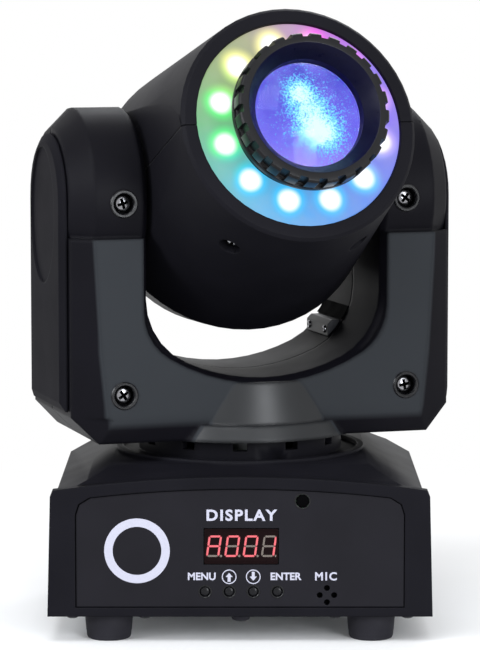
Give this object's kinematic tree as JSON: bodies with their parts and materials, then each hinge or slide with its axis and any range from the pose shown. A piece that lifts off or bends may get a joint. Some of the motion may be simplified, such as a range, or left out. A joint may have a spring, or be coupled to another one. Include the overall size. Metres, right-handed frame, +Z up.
{
  "type": "led moving head",
  "caption": "Compact stage spotlight: base with control panel, yoke that pans on it, and a round head with a ring of lights and a focusing lens that tilts in the yoke.",
  "frame": {"origin": "on the pan axis, at the middle of the base plate's underside", "axes": "+Z up along the pan axis, -Y towards the front with the control panel, +X to the right of someone who faces the panel"},
  "size_m": [0.1812, 0.1851, 0.2626],
  "materials": {
    "housing": "fine-grained black injection moulding",
    "panel": "satin black panel with pale printing on the front one",
    "foot": "soft matte black",
    "button": "smooth black",
    "display": "dark red window over lit red digits",
    "board": "green laminate",
    "component": "plain black",
    "motor": "black painted metal",
    "steel": "plain zinc-plated sheet",
    "screw": "bright plated",
    "aluminium": "bare metal",
    "belt": "matte black",
    "diffuser": "milky white, lit in rainbow colours from behind",
    "lens": "clear, coated, with a blue-violet light behind it"
  },
  "bodies": {
    "base": {"base_housing": "housing", "base_plate": "steel", "control_panel": "panel", "display_module": "display", "control_board": "board", "power_supply": "component", "rear_panel": "panel", "power_inlet": "component", "dmx_input": "component", "dmx_output": "component", "bearing_bracket": "steel", "pan_bearing": "steel", "pan_motor": "motor", "pan_belt": "belt", "front_left_foot": "foot", "front_right_foot": "foot", "rear_left_foot": "foot", "rear_right_foot": "foot"},
    "pan_pinion": {"pan_pinion": "aluminium"},
    "yoke": {"yoke_front_cover": "housing", "yoke_rear_cover": "housing", "left_side_cover": "housing", "right_side_cover": "housing", "access_block": "housing", "yoke_frame": "steel", "pan_spindle": "steel", "pan_pulley": "aluminium", "left_tilt_bearing": "steel", "right_tilt_bearing": "steel", "tilt_motor": "motor", "tilt_belt": "belt", "upper_left_yoke_screw": "screw", "upper_right_yoke_screw": "screw", "lower_left_yoke_screw": "screw", "lower_right_yoke_screw": "screw"},
    "tilt_pinion": {"tilt_pinion": "aluminium"},
    "head": {"head_upper_shell": "housing", "head_lower_shell": "housing", "head_rear_cover": "housing", "ring_diffuser": "diffuser", "ring_board": "board", "lens_tube": "component", "head_chassis": "steel", "tilt_pulley": "aluminium", "gobo_motor": "motor", "colour_motor": "motor", "lamp_engine": "motor", "heat_sink": "aluminium", "fan_frame": "component"},
    "focus_ring": {"focus_ring": "housing"},
    "lens": {"objective_lens": "lens"},
    "gobo_wheel": {"gobo_wheel": "aluminium"},
    "colour_wheel": {"colour_wheel": "aluminium"},
    "fan_rotor": {"fan_rotor": "component"},
    "menu_button": {"menu_button": "button"},
    "up_button": {"up_button": "button"},
    "down_button": {"down_button": "button"},
    "enter_button": {"enter_button": "button"}
  },
  "joints": [
    {"name": "pan", "type": "hinge", "parent": "base", "child": "yoke", "pos_m": [0, 0, 0.0694], "axis": [0, 0, 1], "range_deg": [-287.4, 252.6]},
    {"name": "tilt", "type": "hinge", "parent": "yoke", "child": "head", "pos_m": [0, 0, 0.1703], "axis": [-0.9542, -0.299, 0], "range_deg": [-40.9, 169.1]},
    {"name": "pan_pinion_turn", "type": "hinge", "parent": "base", "child": "pan_pinion", "pos_m": [-0.05, 0, 0.048], "axis": [0, 0, 1], "range_deg": [-1054, 927]},
    {"name": "tilt_pinion_turn", "type": "hinge", "parent": "yoke", "child": "tilt_pinion", "pos_m": [0.07204, 0.02258, 0.113], "axis": [-0.9542, -0.299, 0], "range_deg": [-121, 494]},
    {"name": "focus_turn", "type": "hinge", "parent": "head", "child": "focus_ring", "pos_m": [0.02871, -0.09162, 0.21039], "axis": [0.2794, -0.8915, 0.3567], "range_deg": [0, 120]},
    {"name": "focus_travel", "type": "slide", "parent": "head", "child": "lens", "axis": [0.2794, -0.8915, 0.3567], "range_m": [0, 0.003]},
    {"name": "gobo_turn", "type": "hinge", "parent": "head", "child": "gobo_wheel", "pos_m": [-0.00017, 0.00056, 0.19705], "axis": [0.2794, -0.8915, 0.3567], "continuous": true},
    {"name": "colour_turn", "type": "hinge", "parent": "head", "child": "colour_wheel", "pos_m": [0.00346, -0.01103, 0.15459], "axis": [0.2794, -0.8915, 0.3567], "continuous": true},
    {"name": "fan_turn", "type": "hinge", "parent": "head", "child": "fan_rotor", "pos_m": [-0.01375, 0.04388, 0.15617], "axis": [0.2794, -0.8915, 0.3567], "continuous": true},
    {"name": "menu_press", "type": "slide", "parent": "base", "child": "menu_button", "axis": [0, 1, 0], "range_m": [0, 0.0004], "stiffness_N_per_m": 400, "springref_m": -0.0002},
    {"name": "up_press", "type": "slide", "parent": "base", "child": "up_button", "axis": [0, 1, 0], "range_m": [0, 0.0004], "stiffness_N_per_m": 400, "springref_m": -0.0002},
    {"name": "down_press", "type": "slide", "parent": "base", "child": "down_button", "axis": [0, 1, 0], "range_m": [0, 0.0004], "stiffness_N_per_m": 400, "springref_m": -0.0002},
    {"name": "enter_press", "type": "slide", "parent": "base", "child": "enter_button", "axis": [0, 1, 0], "range_m": [0, 0.0004], "stiffness_N_per_m": 400, "springref_m": -0.0002}
  ],
  "couplings": [
    {"joint": "pan_pinion_turn", "follows": "pan", "ratio": 3.6627},
    {"joint": "tilt_pinion_turn", "follows": "tilt", "ratio": 2.9097},
    {"joint": "focus_travel", "follows": "focus_turn", "m_per_rad": 0.0014}
  ]
}
